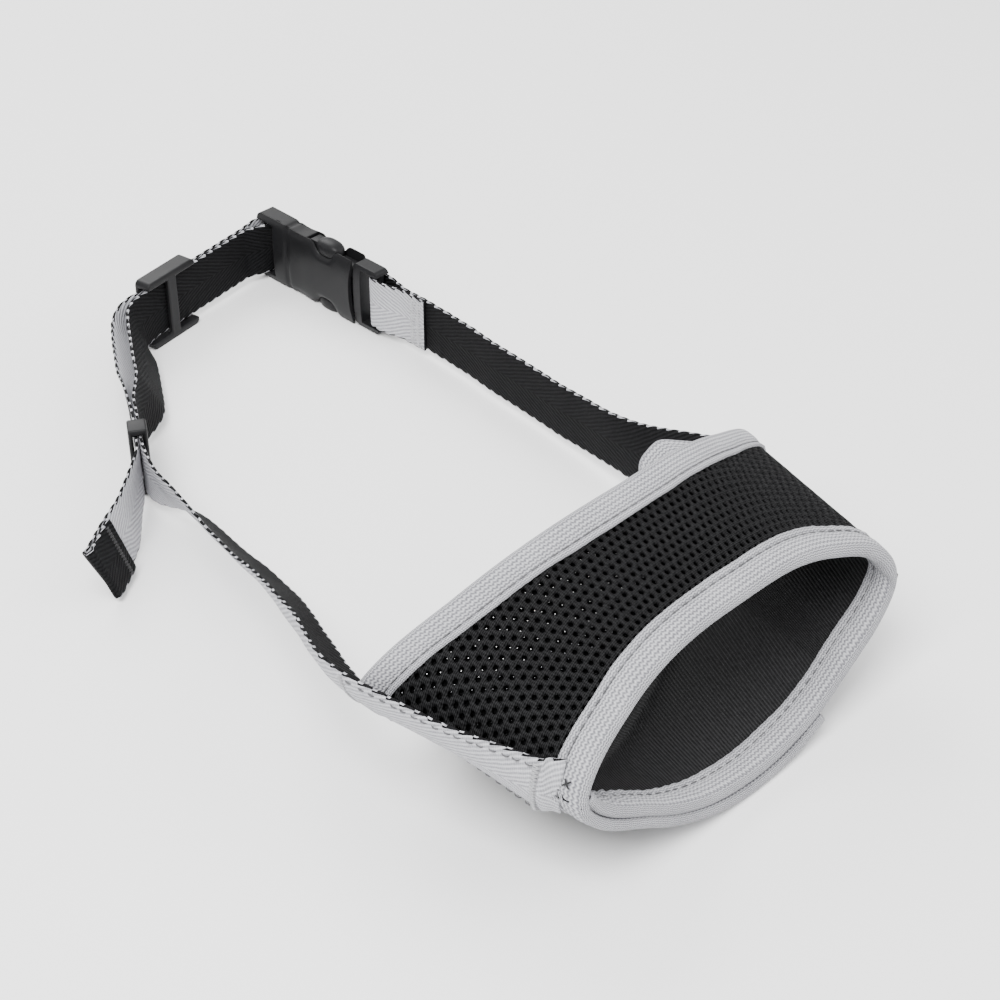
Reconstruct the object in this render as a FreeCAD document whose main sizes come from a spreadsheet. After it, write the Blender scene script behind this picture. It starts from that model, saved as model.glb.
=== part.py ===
"""Soft dog muzzle: a fabric sleeve with a two-flap chin, and a webbing neck strap.

Lengths are millimetres.  +Z is up, the nose opening faces -Y, and the sleeve
lies on its chin with the strap loop standing on its lower edge behind it.
"""
import FreeCAD, Part

import math
import os

import Sketcher

Vector = FreeCAD.Vector
UP = Vector(0, 0, 1)

SIZES = {
    # sleeve: the two open ends, each an arch over the nose and a trough under it
    "front_half_width": 65.0,
    "front_corner_height": 32.0,
    "front_arch": 22.5,
    "front_arch_power": 2.7,
    "front_arch_power_far": 3.5,
    "front_set_back": 8.0,
    "rear_half_width": 79.0,
    "rear_corner_height": 37.0,
    "rear_arch": 33.0,
    "rear_arch_power": 2.4,
    "seam_length": 69.0,
    "rear_scoop": 17.5,
    "chin_drop_front": 31.2,
    "chin_drop_rear": 36.2,
    "chin_power": 2.15,
    "outer_flap_bow": 7.0,
    "inner_flap_bow": 6.0,
    "outer_flap_end": 0.42,
    "flap_gap": 3.3,
    "rear_flare": 12.0,
    "rear_flare_rise": 3.0,
    "seam_inset": 0.045,
    # cloth
    "mesh_thickness": 2.6,
    "chin_thickness": 1.2,
    "tape_thickness": 0.7,
    "tape_depth": 10.0,
    "patch_thickness": 0.75,
    "patch_margin": 16.0,
    "thread_size": 0.6,
    "stitch_inset": 8.0,
    "bartack_width": 1.6,
    "bartack_depth": 0.4,
    "bartack_inset": 3.0,
    "seam_row_inset": 6.0,
    # webbing
    "webbing_width": 20.0,
    "webbing_thickness": 1.2,
    "layer_pitch": 1.35,
    "strap_height": 13.0,
    "run_line": 296.0,
    "buckle_line": 84.0,
    "run_heading": 10.0,
    "slide_from_corner": 24.0,
    # side release buckle
    "buckle_width": 26.0,
    "buckle_thickness": 9.0,
    "bar_size": 4.0,
    "slot_width": 21.2,
    "female_slot_end": 7.0,
    "female_length": 49.0,
    "cavity_start": 16.0,
    "cavity_width": 21.8,
    "cavity_height": 5.8,
    "window_start": 24.5,
    "male_start": 49.6,
    "male_slot_start": 53.2,
    "male_bar_start": 57.5,
    "male_width": 25.0,
    "male_thickness": 7.0,
    "guide_tip": 27.0,
    "guide_width": 4.0,
    "guide_thickness": 3.4,
    "prong_tip": 24.0,
    "prong_root": 48.8,
    "prong_inner": 6.0,
    "prong_width": 3.6,
    "prong_thickness": 4.6,
    "head_start": 25.5,
    "head_length": 12.0,
    "head_width": 3.0,
    "buckle_corner": 1.5,
    "prong_corner": 1.2,
    # strap adjuster and keeper
    "slide_length": 24.0,
    "slide_height": 26.0,
    "slide_rail": 2.6,
    "slide_bar": 4.5,
    "slide_corner": 2.0,
    "bar_depth": 1.7,
    "strap_clearance": 0.3,
    "keeper_length": 7.0,
    "keeper_wall": 1.5,
    "keeper_height": 25.0,
    "keeper_corner": 0.8,
}

doc = FreeCAD.newDocument("Muzzle")
sheet = doc.addObject("Spreadsheet::Sheet", "Sizes")
for row, (alias, value) in enumerate(SIZES.items(), start=1):
    sheet.set(f"A{row}", alias)
    sheet.set(f"B{row}", str(value))
    sheet.setAlias(f"B{row}", alias)
doc.recompute()

nodes = []

HAIRLINE = 0.05  # the gap left between layers that lie on each other
TOLERANCE = 1e-3
# Places along the free strap, chosen by hand: where it lies, not how large it is.
KEEPER_RUN = [Vector(-39, 212.6, SIZES["strap_height"]),
              Vector(7, 284.6, SIZES["strap_height"])]
KEEPER_FROM_START = 8.5
TAIL_END = Vector(-78, 182.5, 10.6)
TAIL_LEAN = Vector(-0.38, 0.14, 0.91)
HANGING_LEAN = Vector(-0.79, 0.22, 0.57)
# Where the near strap's width points, by its share of the strap's length.
NEAR_STRAP_LEANS = [(0.0, UP), (0.125, UP), (0.19, HANGING_LEAN), (0.27, HANGING_LEAN),
                    (0.355, UP), (0.925, UP), (1.0, TAIL_LEAN)]
FAR_SEAM_SPOT = 0.9
FAR_SEAM_LEAN = Vector(0.7, 0, 0.71)
FAR_STRAP_LEANS = [(0.0, FAR_SEAM_LEAN), (0.31, FAR_SEAM_LEAN), (0.45, UP), (1.0, UP)]
HANGING_POINT = Vector(-50.5, 141, 18)
TAIL_START = Vector(-57, 196.5, 11.4)
BUCKLE_RUN = 66


def size(alias):
    """The current value of one driving dimension."""
    return float(getattr(sheet, alias))


# ---------------------------------------------------------------- soft solids


def add_shape(name, shape):
    """Put a finished shape into the document as a sub-part of its own."""
    feature = doc.addObject("Part::Feature", name)
    feature.Label = name
    feature.Shape = shape
    feature.Placement = FreeCAD.Placement()
    nodes.append(feature)


def skin(sections):
    """One closed solid through a row of flat polygons with equal corner counts."""
    wires = [Part.makePolygon(corners + corners[:1]) for corners in sections]
    return Part.makeLoft(wires, True, True)


def stations(first, last, count):
    return [first + (last - first) * step / (count - 1) for step in range(count)]


def arch(s, power):
    """1 on the centre line of the sleeve, 0 at its side seams."""
    return 1 - abs(s) ** power


def top_front(s):
    rise = arch(s, size("front_arch_power_far" if s > 0 else "front_arch_power"))
    return Vector(size("front_half_width") * s,
                  size("front_set_back") * rise,
                  size("front_corner_height") + size("front_arch") * rise)


def top_rear(s):
    rise = arch(s, size("rear_arch_power"))
    return Vector(size("rear_half_width") * s,
                  size("seam_length") - size("rear_scoop") * arch(s, 2),
                  size("rear_corner_height") + size("rear_arch") * rise)


def chin_front(bow):
    def edge(s):
        drop = arch(s, size("chin_power"))
        return Vector(size("front_half_width") * s,
                      -bow * drop,
                      size("front_corner_height") - size("chin_drop_front") * drop)
    return edge


def far_slack(s):
    """How far the chin's loose far rear corner flares: 0 away from it, 1 at its fullest."""
    first, fullest = 0.55, 0.88
    share = max(0.0, min((s - first) / (fullest - first), (1 - s) / (1 - fullest)))
    return share ** 2 * (3 - 2 * share)


def chin_rear(s):
    drop = arch(s, size("chin_power"))
    slack = far_slack(s)
    return Vector(size("rear_half_width") * s,
                  size("seam_length") + size("rear_flare") * slack,
                  size("rear_corner_height") - size("chin_drop_rear") * drop
                  + size("rear_flare_rise") * slack)


class Panel:
    """A cloth surface ruled between a front and a rear edge.

    A point is given by s, from -1 at the near seam to 1 at the far seam, by its
    depth from one edge, and by its height towards the inside of the sleeve.
    """

    def __init__(self, front, rear, lift=lambda s: 0.0):
        self.front = front
        self.rear = rear
        self.lift = lift

    def axes(self, s):
        along = (self.rear(s) - self.front(s)).normalize()
        step = 0.002
        before = max(s - step, -1)
        after = min(s + step, 1)
        across = self.front(after) + self.rear(after) - self.front(before) - self.rear(before)
        inward = across.cross(along).normalize()
        centre = (self.front(s) + self.rear(s)) * 0.5
        towards_axis = Vector(0, centre.y, size("front_corner_height") + 3) - centre
        if inward.dot(towards_axis) < 0:
            inward = -inward
        return along, inward

    def point(self, s, depth, height, from_rear=False):
        along, inward = self.axes(s)
        base = self.rear(s) - along * depth if from_rear else self.front(s) + along * depth
        return base + inward * (height + self.lift(s))

    def length(self, s):
        return self.front(s).distanceToPoint(self.rear(s))


def cloth_solid(panel, spans, thickness, front_inset=0.0, rear_inset=0.0, base=0.0):
    """The panel's own cloth, from one inset to the other."""
    sections = []
    for s in spans:
        depths = (front_inset, panel.length(s) - rear_inset)
        lower = [panel.point(s, depth, base) for depth in depths]
        upper = [panel.point(s, depth, base + thickness) for depth in reversed(depths)]
        sections.append(lower + upper)
    return skin(sections)


def binding_solid(panel, spans, thickness, from_rear):
    """Tape folded over a cloth edge: a U section that leaves the cloth a hairline."""
    tape = size("tape_thickness")
    outside = -tape - HAIRLINE
    inside = thickness + tape + HAIRLINE
    profile = [(size("tape_depth"), outside), (outside, outside), (outside, inside),
               (size("tape_depth"), inside), (size("tape_depth"), inside - tape),
               (-HAIRLINE, inside - tape), (-HAIRLINE, outside + tape),
               (size("tape_depth"), outside + tape)]
    sections = [[panel.point(s, depth, height, from_rear) for depth, height in profile]
                for s in spans]
    return skin(sections)


def thread_solid(panel, spans, from_rear, inner_cloth=None):
    """One row of stitches on a binding: on its outer face, or over the inner cloth."""
    clear = size("tape_thickness") + 2 * HAIRLINE
    thread = size("thread_size")
    inset = size("stitch_inset")
    face = -clear if inner_cloth is None else inner_cloth + clear
    crown = face + math.copysign(thread / 2, face)
    profile = [(inset, face), (inset + thread, face), (inset + thread, crown), (inset, crown)]
    return skin([[panel.point(s, depth, height, from_rear) for depth, height in profile]
                 for s in spans])


def make_sleeve():
    inset = size("seam_inset")
    seam_to_seam = stations(-1 + inset, 1 - inset, 33)
    mesh = size("mesh_thickness")
    chin = size("chin_thickness")
    gap = size("flap_gap")
    top = Panel(top_front, top_rear)
    outer = Panel(chin_front(size("outer_flap_bow")), chin_rear)
    inner = Panel(chin_front(size("inner_flap_bow")), chin_rear,
                  lambda s: gap * min(1, 2 * (1 - s)))

    add_shape("mesh_panel", cloth_solid(top, seam_to_seam, mesh))
    add_shape("front_binding_top", binding_solid(top, seam_to_seam, mesh, False))
    add_shape("rear_binding_top", binding_solid(top, seam_to_seam, mesh, True))
    add_shape("front_stitching_top", thread_solid(top, seam_to_seam, False))
    add_shape("rear_stitching_top", thread_solid(top, seam_to_seam, True))

    outer_spans = stations(-1 + 1.2 * inset, size("outer_flap_end"), 25)
    inner_spans = stations(-1 + 2.6 * inset, 1 - 1.2 * inset, 33)
    for name, panel, spans in (("outer", outer, outer_spans), ("inner", inner, inner_spans)):
        add_shape(f"chin_flap_{name}", cloth_solid(panel, spans, chin))
        add_shape(f"front_binding_{name}", binding_solid(panel, spans, chin, False))
        add_shape(f"rear_binding_{name}", binding_solid(panel, spans, chin, True))
    add_shape("front_stitching_inner", thread_solid(inner, inner_spans, False, chin))
    add_shape("rear_stitching_inner", thread_solid(inner, inner_spans, True, chin))

    patch = size("patch_thickness")
    patch_spans = stations(-0.3, 0.25, 9)
    margin = size("patch_margin")
    add_shape("chin_hook_patch",
              cloth_solid(outer, patch_spans, patch, margin, margin, chin + HAIRLINE))
    add_shape("chin_loop_patch",
              cloth_solid(inner, patch_spans, patch, margin, margin, -patch - HAIRLINE))


# ------------------------------------------------------------------- webbing


def rounded_route(corners, radii, turn_step=12.0):
    """Points along straight runs whose inner corners are rounded by arcs."""
    route = [corners[0]]
    for before, corner, after, radius in zip(corners, corners[1:], corners[2:], radii):
        arriving = (corner - before).normalize()
        leaving = (after - corner).normalize()
        turn = arriving.getAngle(leaving)
        reach = radius * math.tan(turn / 2)
        inward = (leaving - arriving).normalize()
        centre = corner + inward * (radius / math.cos(turn / 2))
        steps = max(2, math.ceil(math.degrees(turn) / turn_step))
        axis = arriving.cross(leaving).normalize()
        spoke = corner - arriving * reach - centre
        for step in range(steps + 1):
            spin = FreeCAD.Rotation(axis, math.degrees(turn) * step / steps)
            route.append(centre + spin.multVec(spoke))
    route.append(corners[-1])
    return route


def webbing_solid(route, lean=lambda share: UP):
    """A flat band of webbing along a route; lean gives the direction of its width."""
    half_width = size("webbing_width") / 2
    half_thickness = size("webbing_thickness") / 2
    lengths = [0.0]
    for first, second in zip(route, route[1:]):
        lengths.append(lengths[-1] + first.distanceToPoint(second))
    sections = []
    for index, point in enumerate(route):
        before = route[max(index - 1, 0)]
        after = route[min(index + 1, len(route) - 1)]
        tangent = (after - before).normalize()
        width = lean(lengths[index] / lengths[-1])
        width = (width - tangent * width.dot(tangent)).normalize()
        normal = tangent.cross(width)
        sections.append([point + width * (half_width * across) + normal * (half_thickness * through)
                         for across, through in ((1, 1), (-1, 1), (-1, -1), (1, -1))])
    return skin(sections)


def filled(route, step):
    """The same route with extra points, so that no two are further apart than a step."""
    points = [route[0]]
    for first, second in zip(route, route[1:]):
        parts = max(1, math.ceil(first.distanceToPoint(second) / step))
        points += [first + (second - first) * (part / parts) for part in range(1, parts + 1)]
    return points


def blended(table, share):
    """The direction a table gives for a share, between its two nearest rows."""
    for (low, first), (high, second) in zip(table, table[1:]):
        if share <= high:
            part = (share - low) / (high - low)
            return first * (1 - part) + second * part
    return table[-1][1]


def near_seam_route():
    """The two ends of the near side seam, outside the sleeve, with room for the webbing."""
    clear = size("tape_thickness") + size("webbing_thickness")
    return [Vector(-size("front_half_width") - clear, 1, size("front_corner_height")),
            Vector(-size("rear_half_width") - clear, size("seam_length") + 2,
                   size("rear_corner_height"))]


def far_seam_route():
    """Where the far strap is sewn: on the chin, just below the far side seam."""
    chin = Panel(chin_front(size("inner_flap_bow")), chin_rear)
    clear = size("tape_thickness") + size("webbing_thickness")
    length = chin.length(FAR_SEAM_SPOT)
    return [chin.point(FAR_SEAM_SPOT, depth, -1.45 * clear)
            for depth in (1.5, length - size("rear_flare") + 3)]


def parallel(corners, distance):
    """The same route in plan, moved to its left by a distance at every corner."""
    moved = []
    for index, corner in enumerate(corners):
        before = corners[max(index - 1, 0)]
        after = corners[min(index + 1, len(corners) - 1)]
        arriving = corner - before if index else after - corner
        leaving = after - corner if index + 1 < len(corners) else arriving
        arriving = Vector(arriving.x, arriving.y, 0).normalize()
        leaving = Vector(leaving.x, leaving.y, 0).normalize()
        left = UP.cross((arriving + leaving).normalize())
        spread = math.cos(arriving.getAngle(leaving) / 2)
        moved.append(corner + left * (distance / spread))
    return moved


def run_direction():
    """Heading of the doubled webbing between the adjuster's corner and the buckle."""
    heading = math.radians(size("run_heading"))
    return Vector(math.cos(heading), math.sin(heading), 0)


def make_near_strap():
    """Sewn to the near seam, then doubled back round the buckle's bar to its tail."""
    height = size("strap_height")
    half_pitch = size("layer_pitch") / 2
    line = size("run_line")
    bar = size("buckle_line")
    wrap = size("bar_size") / 2 + size("webbing_thickness") / 2 + 0.1
    doubled = KEEPER_RUN + [KEEPER_RUN[1] + run_direction() * BUCKLE_RUN]
    standing = near_seam_route() + [HANGING_POINT] + parallel(doubled, -half_pitch)
    around = [Vector(bar - 5, line - wrap, height), Vector(bar + wrap, line - wrap, height),
              Vector(bar + wrap, line + wrap, height), Vector(bar - 5, line + wrap, height)]
    returning = parallel(doubled, half_pitch)[::-1]
    corners = standing + around + returning + [TAIL_START, TAIL_END]
    radii = [30, 60, 30, 22, 6, 3, wrap - 0.01, wrap - 0.01, 3, 6, 22, 16, 24]
    route = filled(rounded_route(corners, radii), 6.0)
    add_shape("near_strap", webbing_solid(route, lambda share: blended(NEAR_STRAP_LEANS, share)))


def make_far_strap():
    """Sewn to the far seam, and folded back on itself round the male buckle's bar."""
    height = size("strap_height")
    half_pitch = size("layer_pitch") / 2
    bar = size("buckle_line")
    wrap = size("bar_size") / 2 + size("webbing_thickness") / 2 + 0.1
    bar_end = size("run_line") - size("male_bar_start") - size("bar_size") / 2
    pinch = bar_end - 13
    corners = far_seam_route() + [
        Vector(73, 104, 17), Vector(79, 143, height), Vector(bar + half_pitch, pinch - 12, height),
        Vector(bar + half_pitch, pinch, height), Vector(bar + wrap, bar_end - 4, height),
        Vector(bar + wrap, bar_end + wrap, height), Vector(bar - wrap, bar_end + wrap, height),
        Vector(bar - wrap, bar_end - 4, height), Vector(bar - half_pitch, pinch, height),
        Vector(bar - half_pitch, pinch - 11, height)]
    radii = [6, 40, 60, 60, 10, 6, wrap - 0.01, wrap - 0.01, 6, 10]
    route = filled(rounded_route(corners, radii), 6.0)
    add_shape("far_strap", webbing_solid(route, lambda share: blended(FAR_STRAP_LEANS, share)))
    return pinch


def bar_solid(centre, along, across, outward, run, span):
    """A low straight bar of thread, standing on a face of the webbing."""
    depth = size("bartack_depth")
    sections = []
    for end in (-0.5, 0.5):
        middle = centre + along * (run * end)
        half = across * (span / 2)
        sections.append([middle - half, middle + half,
                         middle + half + outward * depth, middle - half + outward * depth])
    return skin(sections)


def make_strap_stitching(pinch):
    """Rows of thread that hold the webbing to the seams, and the bartacks that end them."""
    face = size("webbing_thickness") / 2 + HAIRLINE
    span = size("webbing_width") - 2
    width = size("bartack_width")
    thread = size("thread_size")
    for side, name, ends, lean in ((-1, "near", near_seam_route(), UP),
                                   (1, "far", far_seam_route(), FAR_SEAM_LEAN)):
        start, end = ends
        along = (end - start).normalize()
        across = (lean - along * lean.dot(along)).normalize()
        outward = along.cross(across)
        outward = outward if outward.x * side > 0 else -outward
        middle = (start + end) * 0.5 + outward * face
        length = start.distanceToPoint(end)
        rows = [bar_solid(middle + across * (span / 2 * edge), along, across, outward,
                          length - 2 * size("seam_row_inset"), thread) for edge in (-1, 1)]
        reach = length / 2 - size("bartack_inset")
        bars = [bar_solid(middle + along * (reach * edge), along, across, outward,
                          width, span) for edge in (-1, 1)]
        add_shape(f"seam_stitching_{name}", Part.makeCompound(rows))
        add_shape(f"seam_bartacks_{name}", Part.makeCompound(bars))

    loop_face = Vector(size("buckle_line") - size("layer_pitch") / 2 - face, pinch - 6,
                       size("strap_height"))
    along = Vector(0, 1, 0)
    add_shape("bartack_male_loop", Part.makeCompound(
        [bar_solid(loop_face + along * shift, along, UP, Vector(-1, 0, 0), width, span)
         for shift in (-2, 2)]))

    along = Vector(-21, -14, -0.8).normalize()
    across = (TAIL_LEAN - along * TAIL_LEAN.dot(along)).normalize()
    outward = across.cross(along)
    add_shape("bartack_tail", bar_solid(TAIL_END - along * size("bartack_inset")
                                        + outward * (face + 5 * HAIRLINE),
                                        along, across, outward, width, span))


# ------------------------------------------------- moulded pieces, PartDesign


def origin_plane(body, role):
    return next(plane for plane in body.Origin.OriginFeatures if plane.Role == role)


def new_body(name, placement):
    body = doc.addObject("PartDesign::Body", name)
    body.Label = name
    body.Placement = placement
    nodes.append(body)
    return body


def rectangle(body, name, left, bottom, width, height):
    """A sketch on the body's XY plane of one rectangle, its four sizes bound to the sheet."""
    sketch = body.newObject("Sketcher::SketchObject", name)
    sketch.AttachmentSupport = (origin_plane(body, "XY_Plane"), "")
    sketch.MapMode = "FlatFace"
    corners = [Vector(0, 0, 0), Vector(10, 0, 0), Vector(10, 5, 0), Vector(0, 5, 0)]
    for start, end in zip(corners, corners[1:] + corners[:1]):
        sketch.addGeometry(Part.LineSegment(start, end), False)
    for line in range(4):
        sketch.addConstraint(Sketcher.Constraint("Coincident", line, 2, (line + 1) % 4, 1))
    for line, direction in enumerate(("Horizontal", "Vertical", "Horizontal", "Vertical")):
        sketch.addConstraint(Sketcher.Constraint(direction, line))
    sides = (("DistanceX", (-1, 1, 0, 1), "left", left, 1.0),
             ("DistanceY", (-1, 1, 0, 1), "bottom", bottom, 1.0),
             ("DistanceX", (0, 1, 0, 2), "width", width, 10.0),
             ("DistanceY", (1, 1, 1, 2), "height", height, 5.0))
    for kind, ends, label, expression, start in sides:
        index = sketch.addConstraint(Sketcher.Constraint(kind, *ends, start))
        sketch.renameConstraint(index, label)
        sketch.setExpression(f"Constraints.{label}", expression)
    return sketch


def pad(body, name, sketch, length, cut=False):
    """Pad or pocket a sketch equally to both sides of its plane."""
    doc.recompute()
    before = body.Shape.Volume if cut else 0.0
    feature = body.newObject("PartDesign::Pocket" if cut else "PartDesign::Pad", name)
    feature.Profile = sketch
    if hasattr(feature, "SideType"):
        feature.SideType = "Symmetric"
    else:
        feature.Midplane = True
    feature.setExpression("Length", length)
    doc.recompute()
    if cut and body.Shape.Volume > before - TOLERANCE:
        raise RuntimeError(f"{name} cuts nothing")
    return feature


def round_edges(body, name, feature, radius, wanted):
    """Fillet the edges of a feature that a test picks out; radius is a formula."""
    edges = [f"Edge{index}" for index, edge in enumerate(feature.Shape.Edges, start=1)
             if wanted(edge)]
    fillet = body.newObject("PartDesign::Fillet", name)
    fillet.Base = (feature, edges)
    fillet.setExpression("Radius", radius)
    doc.recompute()
    return fillet


def along_thickness(edge):
    """True for a straight edge that runs through the thickness of a moulded plate."""
    box = edge.BoundBox
    return box.XLength < TOLERANCE and box.YLength < TOLERANCE


def round_bar(body, name, start):
    """The rounded bar that the webbing turns round, between a buckle half's two rails."""
    outline = rectangle(body, name, start, "-Sizes.slot_width / 2 - 0.5",
                        "Sizes.bar_size", "Sizes.slot_width + 1")
    bar = pad(body, f"{name}_pad", outline, "Sizes.bar_size")
    half = size("bar_size") / 2
    round_edges(body, f"{name}_round", bar, "0.97 * Sizes.bar_size / 2",
                lambda edge: edge.BoundBox.XLength < TOLERANCE and edge.BoundBox.ZLength < TOLERANCE
                and abs(abs(edge.BoundBox.ZMin) - half) < TOLERANCE
                and abs(edge.Length - size("slot_width")) < TOLERANCE)


def buckle_placement():
    """Buckle frame: X runs to the mouth, Y is the width and Z the thickness."""
    turn = FreeCAD.Matrix(0, 0, -1, size("buckle_line"),
                          -1, 0, 0, size("run_line"),
                          0, 1, 0, size("strap_height"),
                          0, 0, 0, 1)
    return FreeCAD.Placement(turn)


def make_buckle_female():
    body = new_body("buckle_female", buckle_placement())
    plate = rectangle(body, "female_plate", "-Sizes.bar_size / 2", "-Sizes.buckle_width / 2",
                      "Sizes.female_length + Sizes.bar_size / 2", "Sizes.buckle_width")
    pad(body, "female_block", plate, "Sizes.buckle_thickness")
    slot = rectangle(body, "female_slot", "-Sizes.bar_size", "-Sizes.slot_width / 2",
                     "Sizes.female_slot_end + Sizes.bar_size", "Sizes.slot_width")
    pad(body, "female_slot_cut", slot, "Sizes.buckle_thickness * 2", cut=True)
    round_bar(body, "female_bar", "-Sizes.bar_size / 2")
    cavity = rectangle(body, "female_cavity", "Sizes.cavity_start", "-Sizes.cavity_width / 2",
                       "Sizes.female_length", "Sizes.cavity_width")
    pad(body, "female_cavity_cut", cavity, "Sizes.cavity_height", cut=True)
    window = rectangle(body, "side_windows", "Sizes.window_start", "-Sizes.buckle_width",
                       "Sizes.female_length", "Sizes.buckle_width * 2")
    last = pad(body, "side_windows_cut", window, "Sizes.cavity_height", cut=True)
    half = size("buckle_width") / 2
    round_edges(body, "female_corners", last, "Sizes.buckle_corner",
                lambda edge: along_thickness(edge) and abs(abs(edge.BoundBox.YMin) - half) < TOLERANCE
                and abs(edge.Length - size("buckle_thickness")) < TOLERANCE)


def make_buckle_male():
    body = new_body("buckle_male", buckle_placement())
    plate = rectangle(body, "male_plate", "Sizes.male_start", "-Sizes.male_width / 2",
                      "Sizes.male_bar_start + Sizes.bar_size - Sizes.male_start",
                      "Sizes.male_width")
    pad(body, "male_block", plate, "Sizes.male_thickness")
    slot = rectangle(body, "male_slot", "Sizes.male_slot_start", "-Sizes.slot_width / 2",
                     "Sizes.male_width", "Sizes.slot_width")
    pad(body, "male_slot_cut", slot, "Sizes.male_thickness * 2", cut=True)
    round_bar(body, "male_bar", "Sizes.male_bar_start")
    guide = rectangle(body, "male_guide", "Sizes.guide_tip", "-Sizes.guide_width / 2",
                      "Sizes.male_start + 1 - Sizes.guide_tip", "Sizes.guide_width")
    last = pad(body, "male_guide_blade", guide, "Sizes.guide_thickness")
    half = size("male_width") / 2
    round_edges(body, "male_corners", last, "Sizes.buckle_corner",
                lambda edge: along_thickness(edge) and abs(abs(edge.BoundBox.YMin) - half) < TOLERANCE)


def make_prong(name, side):
    """One latch arm with its shouldered head, on the upper or the lower side."""
    body = new_body(name, buckle_placement())
    arm_edge = "Sizes.prong_inner" if side > 0 else "-Sizes.prong_inner - Sizes.prong_width"
    arm = rectangle(body, f"{name}_arm", "Sizes.prong_tip", arm_edge,
                    "Sizes.prong_root - Sizes.prong_tip", "Sizes.prong_width")
    pad(body, f"{name}_arm_pad", arm, "Sizes.prong_thickness")
    outer = "Sizes.prong_inner + Sizes.prong_width - 0.5"
    head_edge = outer if side > 0 else f"-({outer}) - Sizes.head_width - 0.5"
    head = rectangle(body, f"{name}_head", "Sizes.head_start", head_edge,
                     "Sizes.head_length", "Sizes.head_width + 0.5")
    last = pad(body, f"{name}_head_pad", head, "Sizes.prong_thickness")
    limit = size("prong_inner") + size("prong_width") + size("head_width")
    rounded = round_edges(body, f"{name}_shoulders", last, "Sizes.prong_corner",
                          lambda edge: along_thickness(edge)
                          and abs(abs(edge.BoundBox.YMin) - limit) < TOLERANCE)
    round_edges(body, f"{name}_knuckle", rounded, "Sizes.prong_width / 2 - 0.01",
                lambda edge: along_thickness(edge)
                and abs(edge.BoundBox.XMin - size("prong_root")) < TOLERANCE)


def make_tri_glide():
    """Adjuster: two end bars outside the doubled webbing, one centre bar inside it."""
    along = run_direction()
    spot = KEEPER_RUN[1] + along * size("slide_from_corner")
    frame = FreeCAD.Matrix(along.x, 0, along.y, spot.x,
                           along.y, 0, -along.x, spot.y,
                           0, 1, 0, spot.z,
                           0, 0, 0, 1)
    body = new_body("tri_glide", FreeCAD.Placement(frame))
    passage = "(Sizes.layer_pitch + Sizes.webbing_thickness + 2 * Sizes.strap_clearance)"
    plate = rectangle(body, "slide_plate", "-Sizes.slide_length / 2", "-Sizes.slide_height / 2",
                      "Sizes.slide_length", "Sizes.slide_height")
    block = pad(body, "slide_block", plate, f"{passage} + 2 * Sizes.bar_depth")
    round_edges(body, "slide_corners", block, "Sizes.slide_corner", along_thickness)
    gap = rectangle(body, "webbing_gap", "-Sizes.slide_length",
                    "-Sizes.slide_height / 2 + Sizes.slide_rail",
                    "Sizes.slide_length * 2", "Sizes.slide_height - 2 * Sizes.slide_rail")
    pad(body, "webbing_gap_cut", gap, passage, cut=True)
    deep = f"({passage} / 2 + Sizes.bar_depth)"
    inner_height = "Sizes.slide_height - 2 * Sizes.slide_rail"
    inner_base = "-Sizes.slide_height / 2 + Sizes.slide_rail"
    one_sided(body, "outer_face_opening", "-Sizes.slide_length / 2 + Sizes.slide_bar", inner_base,
              "Sizes.slide_length - 2 * Sizes.slide_bar", inner_height, deep, False)
    for label, left in (("front", "Sizes.slide_bar / 2"), ("back", "-Sizes.slide_length")):
        one_sided(body, f"inner_face_{label}", left, inner_base,
                  "Sizes.slide_length - Sizes.slide_bar / 2", inner_height, deep, True)


def one_sided(body, name, left, bottom, width, height, depth, towards_inside):
    """Pocket a rectangle from the middle plane out through one face only."""
    sketch = rectangle(body, f"{name}_outline", left, bottom, width, height)
    doc.recompute()
    before = body.Shape.Volume
    pocket = body.newObject("PartDesign::Pocket", name)
    pocket.Profile = sketch
    pocket.setExpression("Length", depth)
    pocket.Reversed = towards_inside
    doc.recompute()
    if body.Shape.Volume > before - TOLERANCE:
        raise RuntimeError(f"{name} cuts nothing")


def make_keeper():
    """A small moulded loop that holds the tail against the strap."""
    start, end = KEEPER_RUN
    along = (end - start).normalize()
    heading = math.degrees(math.atan2(along.y, along.x))
    body = new_body("strap_keeper", FreeCAD.Placement(
        start + along * KEEPER_FROM_START, FreeCAD.Rotation(UP, heading)))
    width = "(Sizes.layer_pitch + Sizes.webbing_thickness + 2 * Sizes.strap_clearance)"
    block = rectangle(body, "keeper_outline", "-Sizes.keeper_length / 2",
                      f"-{width} / 2 - Sizes.keeper_wall", "Sizes.keeper_length",
                      f"{width} + 2 * Sizes.keeper_wall")
    solid = pad(body, "keeper_block", block, "Sizes.keeper_height")
    round_edges(body, "keeper_corners", solid, "Sizes.keeper_corner", along_thickness)
    hole = rectangle(body, "keeper_hole", "-Sizes.keeper_length", f"-{width} / 2",
                     "Sizes.keeper_length * 2", width)
    pad(body, "keeper_hole_cut", hole, "Sizes.webbing_width + 0.8", cut=True)


def stand_on_origin():
    """Move every node so that the origin is the middle of the underside of them all."""
    whole = FreeCAD.BoundBox()
    for node in nodes:
        whole.add(node.Shape.BoundBox)
    shift = Vector(-whole.Center.x, -whole.Center.y, -whole.ZMin)
    print(f"origin shift {shift.x:.3f} {shift.y:.3f} {shift.z:.3f}")
    for node in nodes:
        node.Placement = FreeCAD.Placement(shift, FreeCAD.Rotation()).multiply(node.Placement)


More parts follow.
